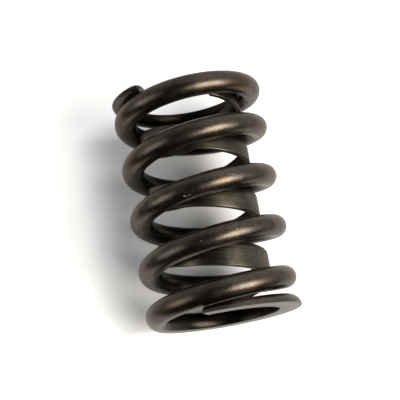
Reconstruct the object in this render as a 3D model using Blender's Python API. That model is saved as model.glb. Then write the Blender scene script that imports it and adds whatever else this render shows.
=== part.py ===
# Valve spring with a flat-wound damper
#
# The outer spring is a right-hand coil of round wire. Its end coils are closed onto their neighbours and
# ground flat, so the wire runs out in a thin tip at each end.
# The damper is a left-hand coil of flat strip that lines the inside of the outer spring.
# The part stands on its lower ground end with +Z along the coil axis. All sizes are in metres.

import math

import bmesh
import bpy
from mathutils import Matrix, Vector

# Outer spring
OUTSIDE_DIAMETER = 0.0320
WIRE_DIAMETER = 0.00462
FREE_LENGTH = 0.0488
TOTAL_TURNS = 5.925
LOWER_TIP_ANGLE = -48.1
LOWER_TIP_THICKNESS = 0.00135
UPPER_TIP_THICKNESS = 0.00140
CLOSED_COIL_GAP = 0.0001

# Where each closed end starts to open, counted in turns from its tip, and the turns it takes to reach full pitch
LOWER_CLOSED_TURNS = 0.23
LOWER_OPENING_TURNS = 1.43
UPPER_CLOSED_TURNS = 0.38
UPPER_OPENING_TURNS = 1.21

# Flat damper
STRIP_WIDTH = 0.0053
STRIP_THICKNESS = 0.0011
STRIP_EDGE_BREAK = 0.0002
DAMPER_TURNS = 3.475
DAMPER_START_ANGLE = -118.8
DAMPER_RADIAL_CLEARANCE = 0.0003
DAMPER_SEAT_CLEARANCE = 0.0003
DAMPER_TOP_SETBACK = 0.0027
DAMPER_TRIM_HEIGHT = 0.00155

# Facets of the swept solids
RINGS_PER_TURN = 36
WIRE_SIDES = 16
SHARP_ANGLE = 30.0

# Derived sizes
WIRE_RADIUS = WIRE_DIAMETER / 2
MEAN_RADIUS = OUTSIDE_DIAMETER / 2 - WIRE_RADIUS
COIL_INSIDE_RADIUS = OUTSIDE_DIAMETER / 2 - WIRE_DIAMETER
DAMPER_OUTER_RADIUS = COIL_INSIDE_RADIUS - DAMPER_RADIAL_CLEARANCE
DAMPER_INNER_RADIUS = DAMPER_OUTER_RADIUS - STRIP_THICKNESS


def opened_turns(turns, closed, opening):
    # Integral of a smooth step that rises from 0 to 1 over the opening turns, after the closed turns
    part = min(max((turns - closed) / opening, 0.0), 1.0)
    return opening * (part**3 - part**4 / 2) + max(turns - closed - opening, 0.0)


def closed_slope(pitch, closed, opening):
    # Rise per turn of the closed coil that brings the next coil just clear of the tip after one whole turn
    opened = opened_turns(1.0, closed, opening)
    return (WIRE_DIAMETER + CLOSED_COIL_GAP - pitch * opened) / (1.0 - opened)


def end_rise(turns, pitch, closed, opening):
    # Height that the wire gains in the given turns from its tip
    slope = closed_slope(pitch, closed, opening)
    return slope * turns + (pitch - slope) * opened_turns(turns, closed, opening)


def total_rise(pitch):
    half = TOTAL_TURNS / 2
    lower = end_rise(half, pitch, LOWER_CLOSED_TURNS, LOWER_OPENING_TURNS)
    upper = end_rise(half, pitch, UPPER_CLOSED_TURNS, UPPER_OPENING_TURNS)
    return lower + upper


def active_pitch():
    # The rise grows evenly with the pitch, so two trial pitches give the one that fits the free length
    wanted = FREE_LENGTH - LOWER_TIP_THICKNESS - UPPER_TIP_THICKNESS + WIRE_DIAMETER
    low = total_rise(0.0)
    per_pitch = (total_rise(WIRE_DIAMETER) - low) / WIRE_DIAMETER
    return (wanted - low) / per_pitch


def wire_height(turns, pitch):
    # Height of the wire's centre. At each tip the ground face leaves only the tip thickness of the wire.
    if turns <= TOTAL_TURNS / 2:
        rise = end_rise(turns, pitch, LOWER_CLOSED_TURNS, LOWER_OPENING_TURNS)
        return LOWER_TIP_THICKNESS - WIRE_RADIUS + rise
    rise = end_rise(TOTAL_TURNS - turns, pitch, UPPER_CLOSED_TURNS, UPPER_OPENING_TURNS)
    return FREE_LENGTH - UPPER_TIP_THICKNESS + WIRE_RADIUS - rise


def wire_rings():
    # Round sections square to the wire, from the lower tip to the upper one, turning right-handed
    pitch = active_pitch()
    steps = round(TOTAL_TURNS * RINGS_PER_TURN)
    turn_step = TOTAL_TURNS / steps
    rings = []
    for index in range(steps + 1):
        turns = index * turn_step
        angle = math.radians(LOWER_TIP_ANGLE) + math.tau * turns
        radial = Vector((math.cos(angle), math.sin(angle), 0.0))
        around = Vector((-math.sin(angle), math.cos(angle), 0.0))
        centre = radial * MEAN_RADIUS + Vector((0.0, 0.0, wire_height(turns, pitch)))
        before = wire_height(max(turns - turn_step, 0.0), pitch)
        after = wire_height(min(turns + turn_step, TOTAL_TURNS), pitch)
        span = min(turns + turn_step, TOTAL_TURNS) - max(turns - turn_step, 0.0)
        tangent = around * math.tau * MEAN_RADIUS + Vector((0.0, 0.0, (after - before) / span))
        upward = radial.cross(tangent).normalized()
        ring = []
        for side in range(WIRE_SIDES):
            section_angle = math.tau * side / WIRE_SIDES
            offset = radial * math.cos(section_angle) + upward * math.sin(section_angle)
            ring.append(centre + offset * WIRE_RADIUS)
        rings.append(ring)
    return rings


def strip_section():
    # Outline of the strip as radius and height, with its four long edges broken
    inner = DAMPER_INNER_RADIUS
    outer = DAMPER_OUTER_RADIUS
    half = STRIP_WIDTH / 2
    edge = STRIP_EDGE_BREAK
    return [
        (outer, edge - half),
        (outer, half - edge),
        (outer - edge, half),
        (inner + edge, half),
        (inner, half - edge),
        (inner, edge - half),
        (inner + edge, -half),
        (outer - edge, -half),
    ]


def strip_rings():
    # Upright strip sections, climbing left-handed from the lower end
    first_height = DAMPER_SEAT_CLEARANCE - DAMPER_TRIM_HEIGHT + STRIP_WIDTH / 2
    last_height = FREE_LENGTH - DAMPER_TOP_SETBACK - STRIP_WIDTH / 2
    steps = round(DAMPER_TURNS * RINGS_PER_TURN)
    rings = []
    for index in range(steps + 1):
        share = index / steps
        angle = math.radians(DAMPER_START_ANGLE) - math.tau * DAMPER_TURNS * share
        height = first_height + (last_height - first_height) * share
        ring = []
        for radius, offset in strip_section():
            ring.append(Vector((radius * math.cos(angle), radius * math.sin(angle), height + offset)))
        rings.append(ring)
    return rings


def swept_solid(name, rings, material):
    # Skin the rings in order and close both ends with a flat cap
    mesh = bmesh.new()
    loops = []
    for ring in rings:
        loops.append([mesh.verts.new(point) for point in ring])
    for near, far in zip(loops, loops[1:]):
        for index in range(len(near)):
            following = (index + 1) % len(near)
            mesh.faces.new((near[index], near[following], far[following], far[index]))
    mesh.faces.new(loops[0])
    mesh.faces.new(loops[-1])
    bmesh.ops.recalc_face_normals(mesh, faces=mesh.faces)
    data = bpy.data.meshes.new(name)
    mesh.to_mesh(data)
    mesh.free()
    data.shade_smooth()
    data.set_sharp_from_angle(angle=math.radians(SHARP_ANGLE))
    data.materials.append(material)
    piece = bpy.data.objects.new(name, data)
    bpy.context.scene.collection.objects.link(piece)
    return piece


def grind_flat(piece, name, start, end):
    # Take away everything between two heights, as a grinding wheel does across the whole end
    mesh = bmesh.new()
    size = Matrix.Diagonal((2 * OUTSIDE_DIAMETER, 2 * OUTSIDE_DIAMETER, end - start, 1.0))
    bmesh.ops.create_cube(mesh, size=1.0, matrix=Matrix.Translation((0.0, 0.0, (start + end) / 2)) @ size)
    data = bpy.data.meshes.new(name)
    mesh.to_mesh(data)
    mesh.free()
    cutter = bpy.data.objects.new(name, data)
    bpy.context.scene.collection.objects.link(cutter)
    cutter.hide_render = True
    cutter.display_type = "WIRE"
    cut = piece.modifiers.new(name, "BOOLEAN")
    cut.operation = "DIFFERENCE"
    cut.solver = "EXACT"
    cut.object = cutter


def spring_steel(name, colour, roughness):
    material = bpy.data.materials.new(name)
    material.use_nodes = True
    shader = material.node_tree.nodes["Principled BSDF"]
    shader.inputs["Base Color"].default_value = (*colour, 1.0)
    shader.inputs["Roughness"].default_value = roughness
    shader.inputs["Metallic"].default_value = 1.0
    return material


def build_outer_spring():
    steel = spring_steel("bronze_brown_spring_wire", (0.30, 0.24, 0.20), 0.36)
    spring = swept_solid("outer_spring", wire_rings(), steel)
    grind_flat(spring, "lower_grinding", -2 * WIRE_DIAMETER, 0.0)
    grind_flat(spring, "upper_grinding", FREE_LENGTH, FREE_LENGTH + 2 * WIRE_DIAMETER)


def build_flat_damper():
    steel = spring_steel("dark_spring_strip", (0.27, 0.23, 0.20), 0.34)
    damper = swept_solid("flat_damper", strip_rings(), steel)
    grind_flat(damper, "damper_end_trim", DAMPER_SEAT_CLEARANCE - STRIP_WIDTH, DAMPER_SEAT_CLEARANCE)


def main():
    for old in list(bpy.data.objects):
        bpy.data.objects.remove(old, do_unlink=True)
    build_outer_spring()
    build_flat_damper()


main()
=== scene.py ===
# Valve spring with a flat-wound damper: looks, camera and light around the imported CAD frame.
# Sizes are in metres. +Z runs up the coil axis from the lower ground end.

import math

import bpy
from mathutils import Matrix, Vector


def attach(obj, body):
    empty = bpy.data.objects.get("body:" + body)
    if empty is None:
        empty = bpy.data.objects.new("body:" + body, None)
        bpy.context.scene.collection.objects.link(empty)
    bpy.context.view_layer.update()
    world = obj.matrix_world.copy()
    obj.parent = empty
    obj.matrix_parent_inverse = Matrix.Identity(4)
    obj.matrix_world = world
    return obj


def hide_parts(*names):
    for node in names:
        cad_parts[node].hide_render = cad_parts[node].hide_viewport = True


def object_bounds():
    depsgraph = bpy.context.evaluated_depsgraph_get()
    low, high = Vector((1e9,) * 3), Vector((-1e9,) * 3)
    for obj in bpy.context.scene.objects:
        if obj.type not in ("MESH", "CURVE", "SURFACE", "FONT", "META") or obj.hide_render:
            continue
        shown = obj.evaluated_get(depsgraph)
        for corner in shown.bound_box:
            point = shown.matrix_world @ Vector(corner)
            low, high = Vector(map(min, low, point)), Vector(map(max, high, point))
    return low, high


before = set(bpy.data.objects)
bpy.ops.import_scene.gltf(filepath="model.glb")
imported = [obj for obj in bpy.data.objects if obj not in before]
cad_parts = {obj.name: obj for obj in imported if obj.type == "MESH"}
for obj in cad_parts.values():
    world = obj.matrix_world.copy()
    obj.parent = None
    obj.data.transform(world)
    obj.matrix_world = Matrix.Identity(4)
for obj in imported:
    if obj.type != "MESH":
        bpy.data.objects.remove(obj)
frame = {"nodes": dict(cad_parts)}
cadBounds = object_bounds()
print("frame loaded:", ", ".join(frame["nodes"]))


# Shader and geometry maths as Python expressions

class Val:
    # One socket. Each operator adds its Math node.
    def __init__(self, graph, socket):
        self.graph = graph
        self.socket = socket

    def __add__(self, other):
        return self.graph.math("ADD", self, other)

    def __sub__(self, other):
        return self.graph.math("SUBTRACT", self, other)

    def __radd__(self, other):
        return self.graph.math("ADD", other, self)

    def __rsub__(self, other):
        return self.graph.math("SUBTRACT", other, self)

    def __mul__(self, other):
        return self.graph.math("MULTIPLY", self, other)

    def __truediv__(self, other):
        return self.graph.math("DIVIDE", self, other)

    def __rtruediv__(self, other):
        return self.graph.math("DIVIDE", other, self)

    def __pow__(self, other):
        return self.graph.math("POWER", self, other)

    __rmul__ = __mul__


class Made:
    # A node whose outputs are read by name
    def __init__(self, graph, node):
        self.graph = graph
        self.node = node

    def __getitem__(self, name):
        return Val(self.graph, self.node.outputs[name])


class Graph:
    def __init__(self, tree):
        self.tree = tree

    def add(self, kind, settings=None, sockets=None):
        # Settings come first, because they change which sockets a node has
        node = self.tree.nodes.new(kind)
        for name, value in (settings or {}).items():
            setattr(node, name, value)
        for name, value in (sockets or {}).items():
            self.plug(node.inputs[name], value)
        return Made(self, node)

    def plug(self, socket, value):
        if isinstance(value, Val):
            self.tree.links.new(value.socket, socket)
        elif isinstance(value, tuple) and socket.type == "RGBA" and len(value) == 3:
            socket.default_value = (*value, 1.0)
        else:
            socket.default_value = value

    def math(self, operation, *values):
        sockets = dict(enumerate(values))
        return self.add("ShaderNodeMath", {"operation": operation}, sockets)["Value"]

    def vector(self, x, y, z):
        return self.add("ShaderNodeCombineXYZ", {}, {"X": x, "Y": y, "Z": z})["Vector"]

    def split(self, vector):
        return self.add("ShaderNodeSeparateXYZ", {}, {"Vector": vector})

    def vectorMath(self, operation, first, second):
        return self.add("ShaderNodeVectorMath", {"operation": operation}, {0: first, 1: second})

    def scaled(self, vector, factors):
        return self.vectorMath("MULTIPLY", vector, factors)["Vector"]

    def moved(self, vector, by):
        return self.vectorMath("ADD", vector, by)["Vector"]

    def dot(self, first, second):
        return self.vectorMath("DOT_PRODUCT", first, second)["Value"]

    def mixed(self, factor, first, second):
        # A Mix node has sockets for each kind of value. 6, 7 and output 2 are the colours.
        made = self.add("ShaderNodeMix", {"data_type": "RGBA"}, {0: factor, 6: first, 7: second})
        return Val(self, made.node.outputs[2])

    def ramp(self, value, low, high):
        # 0 below low and 1 above high, with a smooth step between
        settings = {"interpolation_type": "SMOOTHSTEP"}
        sockets = {"Value": value, "From Min": low, "From Max": high}
        return self.add("ShaderNodeMapRange", settings, sockets)["Result"]

    def noise(self, vector, scale, detail, roughness, output="Fac"):
        sockets = {"Vector": vector, "Scale": scale, "Detail": detail, "Roughness": roughness}
        return self.add("ShaderNodeTexNoise", {}, sockets)[output]

    def bump(self, height, depth):
        sockets = {"Strength": 1.0, "Distance": depth, "Height": height}
        return self.add("ShaderNodeBump", {}, sockets)["Normal"]


def lesser(first, second):
    return first.graph.math("MINIMUM", first, second)


def greater(first, second):
    return first.graph.math("MAXIMUM", first, second)


def pick(chosen, yes, no):
    # chosen is 1 or 0
    return chosen * (yes - no) + no


# Outer spring: the CAD's own rule, with finer facets, broken ground edges and a rounded lower tip

springSizes = {
    "Outside Diameter": 0.0320,
    "Wire Diameter": 0.00462,
    "Turns": 5.925,
    "Lower Tip Angle": math.radians(-48.1),
    "Lower Tip": 0.00135,
    "Upper Tip": 0.00140,
    "Coil Gap": 0.0001,
    "Lower Closed": 0.23,
    "Lower Opening": 1.43,
    "Upper Closed": 0.38,
    "Upper Opening": 1.21,
    "Edge Break": 0.00012,
    "Nose Across": 0.0011,  # where the nose points, outwards from the wire's middle
    "Nose Reach": 0.0089,  # turns that the nose stands out past the tip
    "Nose Blend": 0.08,  # turns over which the rings crowd towards it
    "Nose Outer": 0.0009,  # lengths in which it rounds to full width, on its outer and inner side
    "Nose Inner": 0.0016,
    "Rings": 1100,
    "Sides": 72,
}
landColumns = 4  # facet columns on each side of the land's middle, before the land widens
breakSpan = 0.25  # angle of land over which the broken edge grows to its full width
noseEnd = 0.05  # share of the wire's width that is left at the nose's end
trialPitch = 0.01  # any pitch but zero


def springEnd(sizes, end, pitch):
    # The closed coil's rise per turn, and the height gained from the tip to the middle of the wire
    closed = sizes[end + " Closed"]
    opening = sizes[end + " Opening"]
    share = min(max((1.0 - closed) / opening, 0.0), 1.0)
    opened = opening * (share**3 - share**4 / 2) + max(1.0 - closed - opening, 0.0)
    slope = (sizes["Wire Diameter"] + sizes["Coil Gap"] - pitch * opened) / (1.0 - opened)
    half = sizes["Turns"] / 2
    openedHalf = opening / 2 + half - closed - opening
    return slope, slope * half + (pitch - slope) * openedHalf


def springPitch(sizes, height):
    # The rise grows evenly with the pitch, so two trials give the one that fits the free length
    wanted = height - sizes["Lower Tip"] - sizes["Upper Tip"] + sizes["Wire Diameter"]
    low = sum(springEnd(sizes, end, 0.0)[1] for end in ("Lower", "Upper"))
    high = sum(springEnd(sizes, end, trialPitch)[1] for end in ("Lower", "Upper"))
    return (wanted - low) * trialPitch / (high - low)


def newTree(name, inputs):
    # A geometry tree with named inputs
    tree = bpy.data.node_groups.new(name, "GeometryNodeTree")
    for label, value in inputs.items():
        kind = "NodeSocketInt" if isinstance(value, int) else "NodeSocketFloat"
        tree.interface.new_socket(label, in_out="INPUT", socket_type=kind)
    tree.interface.new_socket("Finish", in_out="INPUT", socket_type="NodeSocketMaterial")
    tree.interface.new_socket("Geometry", in_out="OUTPUT", socket_type="NodeSocketGeometry")
    graph = Graph(tree)
    return graph, graph.add("NodeGroupInput")


def sweep(graph, entry, count, profile, place, straight, inwards=False):
    # Skin a profile along a numbered line, then put every point where the rule says
    line = graph.add("GeometryNodeCurvePrimitiveLine", {}, {"End": (1.0, 0.0, 0.0)})["Curve"]
    line = graph.add("GeometryNodeResampleCurve", {}, {"Curve": line, "Count": count})["Curve"]
    line = store(graph, line, "share", "FLOAT", graph.add("GeometryNodeSplineParameter")["Factor"])
    sockets = {"Curve": line, "Profile Curve": profile, "Fill Caps": True}
    mesh = graph.add("GeometryNodeCurveToMesh", {}, sockets)["Mesh"]
    if inwards:
        mesh = graph.add("GeometryNodeFlipFaces", {}, {"Mesh": mesh})["Mesh"]
    mesh = store(graph, mesh, "straight", "FLOAT_VECTOR", straight)
    sockets = {"Geometry": mesh, "Position": place}
    mesh = graph.add("GeometryNodeSetPosition", {}, sockets)["Geometry"]
    for label in ("share", "column", "section"):
        sockets = {"Geometry": mesh, "Name": label}
        mesh = graph.add("GeometryNodeRemoveAttribute", {}, sockets)["Geometry"]
    mesh = graph.add("GeometryNodeRealizeInstances", {}, {"Geometry": mesh})["Geometry"]
    sockets = {"Geometry": mesh, "Material": entry["Finish"]}
    mesh = graph.add("GeometryNodeSetMaterial", {}, sockets)["Geometry"]
    graph.add("NodeGroupOutput", {}, {"Geometry": mesh})


def store(graph, geometry, name, kind, value):
    sockets = {"Geometry": geometry, "Name": name, "Value": value}
    return graph.add("GeometryNodeStoreNamedAttribute", {"data_type": kind}, sockets)["Geometry"]


def named(graph, name, kind="FLOAT"):
    made = graph.add("GeometryNodeInputNamedAttribute", {"data_type": kind}, {"Name": name})
    return made["Attribute"]


def springTree(inputs):
    graph, entry = newTree("closed and ground coil", inputs)
    wireRadius = entry["Wire Diameter"] / 2
    meanRadius = entry["Outside Diameter"] / 2 - wireRadius

    # The rings crowd towards the lower tip, where the sheared end is rounded to a nose
    blend, noseReach = entry["Nose Blend"], entry["Nose Reach"]
    turns = named(graph, "share") * entry["Turns"]
    turns = lesser(turns, (turns / blend)**3 * (blend + noseReach) - noseReach)
    fromTip = lesser(turns, entry["Turns"] - turns)
    lower = graph.math("LESS_THAN", turns, entry["Turns"] / 2)
    sign = lower * 2 - 1

    # Height of the wire's centre above the land at its own end, and its rise per turn
    closed = pick(lower, entry["Lower Closed"], entry["Upper Closed"])
    opening = pick(lower, entry["Lower Opening"], entry["Upper Opening"])
    slope = pick(lower, entry["Lower Slope"], entry["Upper Slope"])
    part = lesser(greater((fromTip - closed) / opening, 0.0), 1.0)
    opened = opening * (part**3 - part**4 / 2) + greater(fromTip - closed - opening, 0.0)
    steep = slope + (entry["Pitch"] - slope) * (part**2 * 3 - part**3 * 2)
    tip = pick(lower, entry["Lower Tip"], entry["Upper Tip"])
    height = tip - wireRadius + slope * fromTip + (entry["Pitch"] - slope) * opened
    lead = graph.math("ARCTANGENT", steep / (meanRadius * math.tau))
    leadCos = graph.math("COSINE", lead)
    leadSin = graph.math("SINE", lead)

    # Angle from the side that is ground. The land's columns spread as the cut gets deeper.
    step = math.tau / entry["Sides"]
    firstAngle = step * landColumns
    around = named(graph, "column") * step
    bent = graph.math("WRAP", around * sign + math.pi / 2, math.pi, -math.pi)
    outward = graph.math("SIGN", bent)
    bent = graph.math("ABSOLUTE", bent)
    cutDepth = lesser(height / (wireRadius * leadCos), 1.0)
    cutAngle = graph.math("ARCCOSINE", greater(cutDepth, -1.0))
    broken = graph.ramp(cutAngle, firstAngle, firstAngle + breakSpan)
    landAngle = greater(cutAngle, firstAngle)
    arcStart = landAngle + broken * entry["Edge Break"] / wireRadius
    arcAngle = arcStart + (bent - firstAngle) * (math.pi - arcStart) / (math.pi - firstAngle)
    landHalf = wireRadius * graph.math("SINE", landAngle)
    reach = landHalf + broken * (landHalf - entry["Edge Break"] * landColumns) / (landColumns - 1)
    onArc = graph.math("GREATER_THAN", bent, firstAngle - step / 4)  # a quarter step of slack
    landAcross = bent / firstAngle * reach
    belly = graph.math("SQRT", greater(wireRadius**2 - landAcross**2, 0.0))
    landRise = greater(height / leadCos * -1, belly * -1)
    across = outward * pick(onArc, wireRadius * graph.math("SINE", arcAngle), landAcross)
    rise = sign * pick(onArc, wireRadius * graph.math("COSINE", arcAngle) * -1, landRise)

    # Nose: the section narrows towards one point of its width
    along = turns * meanRadius * math.tau
    fromNose = along + noseReach * meanRadius * math.tau
    aside = across - entry["Nose Across"]
    outer = graph.math("GREATER_THAN", aside, 0.0)
    roundOver = pick(outer, entry["Nose Outer"], entry["Nose Inner"])
    narrowed = lesser(graph.math("SQRT", greater(fromNose, 0.0) / roundOver) + noseEnd, 1.0)
    across = entry["Nose Across"] + aside * narrowed

    angle = turns * math.tau + entry["Lower Tip Angle"]
    cosine = graph.math("COSINE", angle)
    sine = graph.math("SINE", angle)
    centreHeight = pick(lower, height, entry["Free Length"] - height)
    place = graph.vector(
        cosine * (meanRadius + across) + sine * leadSin * rise,
        sine * (meanRadius + across) - cosine * leadSin * rise,
        centreHeight + leadCos * rise,
    )
    sockets = {"Resolution": entry["Sides"]}
    circle = graph.add("GeometryNodeCurvePrimitiveCircle", {}, sockets)["Curve"]
    circle = store(graph, circle, "column", "FLOAT", graph.add("GeometryNodeInputIndex")["Index"])
    straight = graph.vector(along, across, rise)
    sweep(graph, entry, entry["Rings"], circle, place, straight, inwards=True)
    return graph.tree


# Damper: flat strip with rounded edges, wound left-handed inside the coil

damperSizes = {
    "Strip Width": 0.0053,
    "Strip Thickness": 0.0011,
    "Edge Radius": 0.00025,
    "Edge Facets": 4,
    "Turns": 3.475,
    "Start Angle": math.radians(-118.8),
    "Outer Radius": 0.01108,
    "Seat Height": 0.0003,
    "Trim Height": 0.00155,
    "Top Setback": 0.0027,
    "Rings": 700,
}


def damperTree(inputs):
    graph, entry = newTree("flat-wound strip", inputs)
    share = named(graph, "share")
    section = graph.split(named(graph, "section", "FLOAT_VECTOR"))
    half = entry["Strip Width"] / 2
    first = entry["Seat Height"] - entry["Trim Height"] + half
    last = entry["Free Length"] - entry["Top Setback"] - half
    turned = share * entry["Turns"] * math.tau
    angle = entry["Start Angle"] - turned
    middle = entry["Outer Radius"] - entry["Strip Thickness"] / 2
    radius = middle + section["X"]
    height = greater(first + (last - first) * share + section["Y"], entry["Seat Height"])
    cosine = graph.math("COSINE", angle)
    sine = graph.math("SINE", angle)
    place = graph.vector(cosine * radius, sine * radius, height)
    sockets = {"Width": entry["Strip Thickness"], "Height": entry["Strip Width"]}
    profile = graph.add("GeometryNodeCurvePrimitiveQuadrilateral", {}, sockets)["Curve"]
    sockets = {"Curve": profile, "Radius": entry["Edge Radius"], "Count": entry["Edge Facets"]}
    profile = graph.add("GeometryNodeFilletCurve", {"mode": "POLY"}, sockets)["Curve"]
    where = graph.add("GeometryNodeInputPosition")["Position"]
    profile = store(graph, profile, "section", "FLOAT_VECTOR", where)
    straight = graph.vector(turned * middle, section["X"], section["Y"])
    sweep(graph, entry, entry["Rings"], profile, place, straight)
    return graph.tree


sharpAngle = math.radians(32.0)  # faces that meet more sharply than this keep a hard edge


def grow(name, tree, inputs, material, node):
    # Evaluate the tree, keep its plain mesh and stand it in for the CAD node
    seed = bpy.data.objects.new(name + "_seed", bpy.data.meshes.new(name + "_seed"))
    bpy.context.scene.collection.objects.link(seed)
    live = seed.modifiers.new(name, "NODES")
    live.node_group = tree
    entries = [item for item in tree.interface.items_tree if item.in_out == "INPUT"]
    identifiers = {item.name: item.identifier for item in entries}
    for label, value in {**inputs, "Finish": material}.items():
        live[identifiers[label]] = value
    evaluated = seed.evaluated_get(bpy.context.evaluated_depsgraph_get())
    mesh = bpy.data.meshes.new_from_object(evaluated)
    seed.modifiers.remove(live)
    bpy.data.objects.remove(seed)
    mesh.shade_smooth()
    mesh.set_sharp_from_angle(angle=sharpAngle)
    piece = bpy.data.objects.new(name, mesh)
    bpy.context.scene.collection.objects.link(piece)
    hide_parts(node)
    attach(piece, "root")
    print(name, "made:", len(mesh.polygons), "faces")


# Finishes. A noise is its scale, detail and roughness, and an edge is where it starts and ends.

wireLooks = {
    "darkBronze": (0.070, 0.057, 0.046),
    "paleBronze": (0.122, 0.097, 0.072),
    "blotches": (420.0, 3.0, 0.6),
    "blotchEdge": (0.32, 0.70),
    "oxide": (0.122, 0.079, 0.049),
    "clouds": (130.0, 2.0, 0.5),
    "cloudEdge": (0.48, 0.68),
    "cloudShare": 0.65,
    "insideScale": (0.022, 0.019, 0.016),  # painted shade on the side of the wire that faces the bore
    "insideEdge": (0.0, 0.0015),  # inwards from the wire's middle
    "insideRagged": 0.0012,
    "insideShare": 0.9,
    "bareSteel": (0.24, 0.23, 0.215),
    "landEdge": (0.000004, 0.000012),  # height off the ground plane at which the bare land ends
    "brightEdge": (0.00006, 0.00016),
    "brightShare": 0.5,
    "nickSteel": (0.48, 0.46, 0.43),
    "nickNoise": (9000.0, 1.0, 0.5),
    "nickStray": 0.0002,
    "nickEdge": (0.25, 0.7),
    "nickShare": 0.85,
    "drawnStretch": (0.05, 1.0, 1.0),  # drawing lines run along the wire
    "drawn": (5200.0, 2.0, 0.6),
    "speckle": (3400.0, 2.0, 0.7),
    "roughness": 0.31,
    "blotchRoughness": 0.16,
    "speckleRoughness": 0.24,
    "drawnRoughness": 0.08,
    "landRoughness": 0.45,
    "landDrawn": 0.1,
    "grain": 0.000045,
    "speckleGrain": 0.7,
    "drawnGrain": 0.3,
    "nickDepth": 1.2,
    "grindingStretch": (0.04, 1.0, 1.0),
    "grinding": (9000.0, 2.0, 0.6),
    "grindingGrain": 0.5,
    "oxideFilm": 0.18,  # thin smooth oxide skin that tempering leaves, with no colour of its own
    "rim": 0.70,
    # Turn from the lower tip, degrees round the wire (0 outwards, 90 up), length and width
    "nicks": [
        (2.9221, 44.0, 0.00034, 0.00024),
        (2.9125, 48.0, 0.00030, 0.00014),
        (2.8142, 3.0, 0.00022, 0.00014),
        (2.8190, 0.0, 0.00018, 0.00012),
        (2.8255, -4.0, 0.00022, 0.00012),
        (3.8224, 4.0, 0.00022, 0.00014),
        (3.8300, 1.0, 0.00024, 0.00012),
        (3.9033, 10.0, 0.00012, 0.00013),
        (1.4300, 20.0, 0.00018, 0.00012),
        (4.3700, -15.0, 0.00014, 0.00012),
        (2.2600, 30.0, 0.00012, 0.00016),
    ],
}

stripLooks = {
    "darkStrip": (0.070, 0.062, 0.045),
    "paleStrip": (0.132, 0.112, 0.082),
    "toneEdge": (0.36, 0.66),
    "blotches": (300.0, 3.0, 0.6),
    "blotchTone": 0.6,
    "rolledStretch": (0.02, 1.0, 1.0),  # rolling lines run along the strip
    "rolled": (2600.0, 3.0, 0.65),
    "rolledTone": 0.4,
    # painted shade for the strip's inside face, which faces the bore
    "insideStrip": (0.030, 0.028, 0.024),
    "insideEdge": (-0.3, 0.4),  # across the strip's thickness, in thicknesses
    "insideShare": 0.9,
    "insideFilm": 0.8,  # share of the oxide film that the inside lacks
    "wornEdge": (0.16, 0.145, 0.12),
    "wornWidth": (0.00005, 0.00022),
    "wornPatches": (0.30, 0.55),
    "wornShare": 0.9,
    "roughness": 0.31,
    "rolledRoughness": 0.30,
    "blotchRoughness": 0.12,
    "rolling": 0.000018,
    "fine": (3000.0, 2.0, 0.6),
    "rolledGrain": 0.7,
    "fineGrain": 0.3,
    "oxideFilm": 0.15,
    "rim": 0.5,
}

filmRoughness = 0.35  # how soft the oxide film's own gloss is


def newMaterial(name, metallic, rim):
    # The rim is how bright the metal turns at a glancing angle
    material = bpy.data.materials.new(name)
    material.use_nodes = True
    shader = material.node_tree.nodes["Principled BSDF"]
    shader.inputs["Metallic"].default_value = metallic
    shader.inputs["Specular Tint"].default_value = (rim, rim, rim, 1.0)
    shader.inputs["Coat Roughness"].default_value = filmRoughness
    return material, Graph(material.node_tree), shader


def nickMask(graph, straight, looks):
    # 1 at the middle of each small bright nick, with a ragged edge
    ragged = graph.noise(straight, *looks["nickNoise"], output="Color")
    centred = graph.moved(ragged, (-0.5, -0.5, -0.5))
    strayed = graph.moved(straight, graph.scaled(centred, (looks["nickStray"],) * 3))
    wireRadius = springSizes["Wire Diameter"] / 2
    turnLength = math.pi * (springSizes["Outside Diameter"] - springSizes["Wire Diameter"])
    mask = None
    for turn, angle, length, width in looks["nicks"]:
        side = math.radians(angle)
        middle = (-turn * turnLength, -wireRadius * math.cos(side), -wireRadius * math.sin(side))
        away = graph.scaled(graph.moved(strayed, middle), (1 / length, 1 / width, 1 / width))
        near = graph.math("EXPONENT", graph.dot(away, away) * -1)
        mask = near if mask is None else greater(mask, near)
    return graph.ramp(mask, *looks["nickEdge"])


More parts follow.
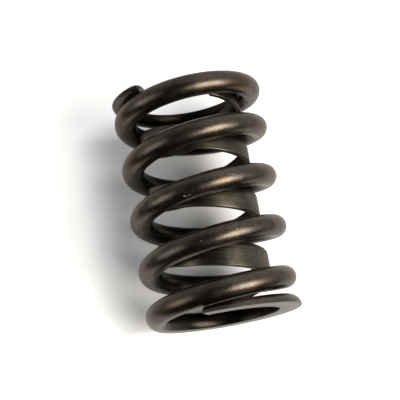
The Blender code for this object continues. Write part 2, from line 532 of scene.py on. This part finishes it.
def springWireMaterial(looks, height):
    material, graph, shader = newMaterial("bronze_brown_spring_wire", 1.0, looks["rim"])
    straight = graph.add("ShaderNodeAttribute", {"attribute_name": "straight"})["Vector"]
    nick = nickMask(graph, straight, looks)
    place = graph.add("ShaderNodeTexCoord")["Object"]
    level = graph.split(place)["Z"]
    blotches = graph.noise(straight, *looks["blotches"])
    clouds = graph.noise(straight, *looks["clouds"])
    drawn = graph.noise(graph.scaled(straight, looks["drawnStretch"]), *looks["drawn"])
    speckle = graph.noise(straight, *looks["speckle"])

    # Mottled bronze with browner clouds, and painted shade that darkens the side facing the bore and
    # dulls its oxide film there
    mottled = graph.ramp(blotches, *looks["blotchEdge"])
    colour = graph.mixed(mottled, looks["darkBronze"], looks["paleBronze"])
    clouded = graph.ramp(clouds, *looks["cloudEdge"]) * looks["cloudShare"]
    colour = graph.mixed(clouded, colour, looks["oxide"])
    inward = graph.split(straight)["Y"] * -1 + (blotches - 0.5) * looks["insideRagged"]
    inside = graph.ramp(inward, *looks["insideEdge"]) * looks["insideShare"]
    colour = graph.mixed(inside, colour, looks["insideScale"])
    graph.plug(shader.inputs["Coat Weight"], looks["oxideFilm"] * (1 - inside))

    # Bare lands at both ends, the bright line along their broken edges, and the nicks
    fromEnd = lesser(level, height - level)
    land = 1 - graph.ramp(fromEnd, *looks["landEdge"])
    edge = 1 - graph.ramp(fromEnd, *looks["brightEdge"])
    colour = graph.mixed(greater(land, edge * looks["brightShare"]), colour, looks["bareSteel"])
    colour = graph.mixed(nick * looks["nickShare"], colour, looks["nickSteel"])
    graph.plug(shader.inputs["Base Color"], colour)

    wireRough = looks["roughness"] + (blotches - 0.5) * looks["blotchRoughness"]
    wireRough += (speckle - 0.5) * looks["speckleRoughness"]
    wireRough += (drawn - 0.5) * looks["drawnRoughness"]
    landRough = looks["landRoughness"] + (drawn - 0.5) * looks["landDrawn"]
    graph.plug(shader.inputs["Roughness"], pick(land, landRough, wireRough))

    # Shot-peened grain on the wire, and straight grinding lines on the lands
    grinding = graph.noise(graph.scaled(place, looks["grindingStretch"]), *looks["grinding"])
    peened = speckle * looks["speckleGrain"] + drawn * looks["drawnGrain"]
    peened -= nick * looks["nickDepth"]
    surface = pick(land, grinding * looks["grindingGrain"], peened)
    graph.plug(shader.inputs["Normal"], graph.bump(surface, looks["grain"]))
    return material


def damperStripMaterial(looks, sizes):
    material, graph, shader = newMaterial("dark_spring_strip", 1.0, looks["rim"])
    straight = graph.add("ShaderNodeAttribute", {"attribute_name": "straight"})["Vector"]
    section = graph.split(straight)
    rolled = graph.noise(graph.scaled(straight, looks["rolledStretch"]), *looks["rolled"])
    blotches = graph.noise(straight, *looks["blotches"])
    fine = graph.noise(straight, *looks["fine"])

    # Streaked along the strip, with painted shade that darkens its inside face and dulls its film
    # there, and worn bright along its edges
    tone = blotches * looks["blotchTone"] + rolled * looks["rolledTone"]
    tone = graph.ramp(tone, *looks["toneEdge"])
    colour = graph.mixed(tone, looks["darkStrip"], looks["paleStrip"])
    start, end = (share * sizes["Strip Thickness"] for share in looks["insideEdge"])
    inside = 1 - graph.ramp(section["Y"], start, end)
    colour = graph.mixed(inside * looks["insideShare"], colour, looks["insideStrip"])
    fromEdge = sizes["Strip Width"] / 2 - graph.math("ABSOLUTE", section["Z"])
    worn = 1 - graph.ramp(fromEdge, *looks["wornWidth"])
    worn *= graph.ramp(blotches, *looks["wornPatches"])
    worn *= 1 - inside
    colour = graph.mixed(worn * looks["wornShare"], colour, looks["wornEdge"])
    graph.plug(shader.inputs["Base Color"], colour)
    film = looks["oxideFilm"] * (1 - inside * looks["insideFilm"])
    graph.plug(shader.inputs["Coat Weight"], film)

    rough = looks["roughness"] + (rolled - 0.5) * looks["rolledRoughness"]
    rough += (blotches - 0.5) * looks["blotchRoughness"]
    graph.plug(shader.inputs["Roughness"], rough)
    surface = rolled * looks["rolledGrain"] + fine * looks["fineGrain"]
    graph.plug(shader.inputs["Normal"], graph.bump(surface, looks["rolling"]))
    return material


freeLength = cadBounds[1].z
fullPitch = springPitch(springSizes, freeLength)
springInputs = {
    **springSizes,
    "Free Length": freeLength,
    "Pitch": fullPitch,
    "Lower Slope": springEnd(springSizes, "Lower", fullPitch)[0],
    "Upper Slope": springEnd(springSizes, "Upper", fullPitch)[0],
}
grow("outer_spring_wire", springTree(springInputs), springInputs,
     springWireMaterial(wireLooks, freeLength), "outer_spring")
damperInputs = {**damperSizes, "Free Length": freeLength}
grow("flat_damper_strip", damperTree(damperInputs), damperInputs,
     damperStripMaterial(stripLooks, damperSizes), "flat_damper")


# Camera: the photograph looks 13 degrees down on a spring whose top end points to the lower right

cameraFacts = {
    "lens": 92.18,
    "sensor": 36.0,
    "distance": 0.21499,
    "tilt": math.radians(13.4286),
    "roll": math.radians(10.1007),
    "middle": (204.605, 204.426),  # where the spring's middle falls in a picture of 400 by 400
    "picture": 400.0,
    "clip": (0.01, 20.0),
}


def pictureAxes(facts):
    # Turns the model's axes into the picture's own: right, down and away
    tilt, roll = facts["tilt"], facts["roll"]
    right = Vector((math.cos(roll), -math.sin(roll), 0.0))
    up = Vector((math.cos(tilt) * math.sin(roll), math.cos(tilt) * math.cos(roll), -math.sin(tilt)))
    away = (-up).cross(right)
    return Matrix((-right, away, up)).transposed()


toPicture = pictureAxes(cameraFacts)
fromPicture = toPicture.transposed()
springMiddle = Vector((0.0, 0.0, freeLength / 2))


def placed(right, down, away):
    # A point given from the spring's middle along the picture's axes
    return springMiddle + fromPicture @ Vector((right, down, away))


def addCamera(facts):
    data = bpy.data.cameras.new("photo_camera")
    data.sensor_width = facts["sensor"]
    data.lens = facts["lens"]
    data.clip_start, data.clip_end = facts["clip"]
    perPixel = facts["sensor"] / facts["picture"] / facts["lens"] * facts["distance"]
    across, down = ((place - facts["picture"] / 2) * perPixel for place in facts["middle"])
    camera = bpy.data.objects.new("photo_camera", data)
    turn = (fromPicture @ Matrix.Diagonal((1.0, -1.0, -1.0))).to_4x4()
    camera.matrix_world = Matrix.Translation(placed(-across, -down, -facts["distance"])) @ turn
    bpy.context.scene.collection.objects.link(camera)
    bpy.context.scene.camera = camera


addCamera(cameraFacts)
print("camera set")


# Stage: the pale surface that the spring lies against, with a painted soft shadow, and soft studio
# light

stageFacts = {
    "surface": 0.01603,  # just behind the coil's outside
    "halfWidth": 0.06,
    "paper": (0.925, 0.92, 0.902),
    "roughness": 0.9,
    "specular": 0.2,
    "glow": 0.085,  # in the painted shadow beside the spring
    "openGlow": 0.52,  # added away from the spring, outside the painted shadow
    "openEdge": (0.0, 0.0115),
    "shadeMiddle": 0.00935,  # the soft shadow is painted by the glow: its place across and up the paper
    "shadeHalfWidth": 0.00835,
    "shadeHeights": (0.0030, 0.0460),
    "endFade": (1.6, 5.0),  # how much faster it fades past its lower and upper end than beside it
    "coreDim": 0.065,  # the painted shadow is deepest behind the bore
    "coreMiddle": 0.0022,
    "coreWidth": 0.0048,
    "mirrored": 0.5,  # share of the glow that the metal reflects
}

keySoftbox = {
    "place": (0.680, 0.150, -0.720),  # right, down and away from the spring's middle
    "size": (0.72, 0.72),
    "watts": 12.0,
    "colour": (1.0, 0.95, 0.88),
}

studio = {
    "pale": (0.85, 0.86, 0.87),  # walls and ceiling beyond the edges of the picture
    "dark": (0.018, 0.022, 0.028),  # the camera's side of the room, and below
    "frontEdge": (0.60, 0.97),
    "lowEdge": (-0.45, 0.15),
    "leftEdge": (-0.35, 0.25),
    "leftLevel": 0.56,  # share of the pale tone that the left side keeps
    "leftFrontEdge": (-0.2, 0.8),
    "leftFrontLevel": 0.32,  # and what it keeps of that towards the camera
    "rightEdge": (0.45, 0.85),
    "rightLevel": 0.68,
    "window": (-0.847, 0.208, -0.489),  # a small window to the left, along right, down and away
    "windowEdge": (0.90, 0.985),
    "windowLight": 1.15,
}


def paperMaterial(facts):
    material, graph, shader = newMaterial("pale_paper", 0.0, 1.0)
    shader.inputs["Roughness"].default_value = facts["roughness"]
    shader.inputs["Specular IOR Level"].default_value = facts["specular"]
    shader.inputs["Base Color"].default_value = (*facts["paper"], 1.0)

    # How far a point lies outside the painted shadow, beside it and past its two ends
    place = graph.split(graph.add("ShaderNodeTexCoord")["Object"])
    lower, upper = facts["shadeHeights"]
    lowerFade, upperFade = facts["endFade"]
    aside = graph.math("ABSOLUTE", place["X"] - facts["shadeMiddle"]) - facts["shadeHalfWidth"]
    beyond = greater((lower - place["Z"]) * lowerFade, (place["Z"] - upper) * upperFade)
    outside = graph.math("SQRT", greater(aside, 0.0)**2 + greater(beyond, 0.0)**2)

    # The paper's white with its painted shadow, for what sees it: the camera, the metal and glass
    core = graph.math("EXPONENT", ((place["X"] - facts["coreMiddle"]) / facts["coreWidth"])**2 * -1)
    strength = facts["glow"] + graph.ramp(outside, *facts["openEdge"]) * facts["openGlow"]
    strength -= core * facts["coreDim"]
    path = graph.add("ShaderNodeLightPath")
    seen = greater(path["Is Camera Ray"], path["Is Glossy Ray"] * facts["mirrored"])
    seen = greater(seen, path["Is Transmission Ray"])
    sockets = {"Color": facts["paper"], "Strength": seen * strength}
    glow = graph.add("ShaderNodeEmission", {}, sockets)["Emission"]
    sockets = {0: Val(graph, shader.outputs[0]), 1: glow}
    paper = graph.add("ShaderNodeAddShader", {}, sockets)["Shader"]

    # Clear from behind
    clear = graph.add("ShaderNodeBsdfTransparent")["BSDF"]
    behind = graph.add("ShaderNodeNewGeometry")["Backfacing"]
    oneSided = graph.add("ShaderNodeMixShader", {}, {0: behind, 1: paper, 2: clear})["Shader"]
    graph.plug(material.node_tree.nodes["Material Output"].inputs["Surface"], oneSided)
    return material


def addSurface(facts):
    # Faces the spring, and is clear from behind so that other views look past it
    half = facts["halfWidth"]
    corners = [(-half, -half), (half, -half), (half, half), (-half, half)]
    points = [(x, facts["surface"], z + freeLength / 2) for x, z in corners]
    mesh = bpy.data.meshes.new("paper_surface")
    mesh.from_pydata(points, [], [(0, 1, 2, 3)])
    mesh.materials.append(paperMaterial(facts))
    surface = bpy.data.objects.new("paper_surface", mesh)
    bpy.context.scene.collection.objects.link(surface)


def addLamp(name, facts):
    # A round softbox that faces the spring's middle
    data = bpy.data.lights.new(name, "AREA")
    data.shape = "ELLIPSE"
    data.size, data.size_y = facts["size"]
    data.energy = facts["watts"]
    data.color = facts["colour"]
    lamp = bpy.data.objects.new(name, data)
    back = (fromPicture @ Vector(facts["place"])).normalized()
    side = (fromPicture @ Vector((0.0, 1.0, 0.0))).cross(back).normalized()
    turn = Matrix((side, back.cross(side), back)).transposed().to_4x4()
    lamp.matrix_world = Matrix.Translation(placed(*facts["place"])) @ turn
    bpy.context.scene.collection.objects.link(lamp)


def lightRoom(facts):
    world = bpy.data.worlds.new("studio_room")
    bpy.context.scene.world = world
    world.use_nodes = True
    graph = Graph(world.node_tree)
    direction = graph.add("ShaderNodeTexCoord")["Generated"]
    right, down, away = (tuple(row) for row in toPicture)
    front = graph.dot(direction, away) * -1
    upward = graph.dot(direction, down) * -1
    sideways = graph.dot(direction, right)

    # The pale room is dark behind the camera and below, and dimmer to the left and far right
    level = (1 - graph.ramp(front, *facts["frontEdge"])) * graph.ramp(upward, *facts["lowEdge"])
    leftLevel = pick(graph.ramp(front, *facts["leftFrontEdge"]), facts["leftFrontLevel"], 1.0)
    leftLevel *= facts["leftLevel"]
    level *= pick(graph.ramp(sideways, *facts["leftEdge"]), 1.0, leftLevel)
    level *= pick(graph.ramp(sideways, *facts["rightEdge"]), facts["rightLevel"], 1.0)
    toWindow = tuple(fromPicture @ Vector(facts["window"]))
    window = graph.ramp(graph.dot(direction, toWindow), *facts["windowEdge"])
    room = world.node_tree.nodes["Background"]
    tone = graph.mixed(greater(level, window), facts["dark"], facts["pale"])
    graph.plug(room.inputs["Color"], tone)
    graph.plug(room.inputs["Strength"], 1 + window * (facts["windowLight"] / facts["pale"][0]))

    # The camera and glass see plain white instead
    path = graph.add("ShaderNodeLightPath")
    seen = greater(path["Is Camera Ray"], path["Is Transmission Ray"])
    white = graph.add("ShaderNodeBackground", {}, {"Color": (1.0, 1.0, 1.0), "Strength": 1.0})
    sockets = {0: seen, 1: Val(graph, room.outputs[0]), 2: white["Background"]}
    both = graph.add("ShaderNodeMixShader", {}, sockets)["Shader"]
    graph.plug(world.node_tree.nodes["World Output"].inputs["Surface"], both)


addSurface(stageFacts)
addLamp("key_softbox", keySoftbox)
lightRoom(studio)
bpy.context.scene.view_settings.view_transform = "Standard"
print("stage and light set")
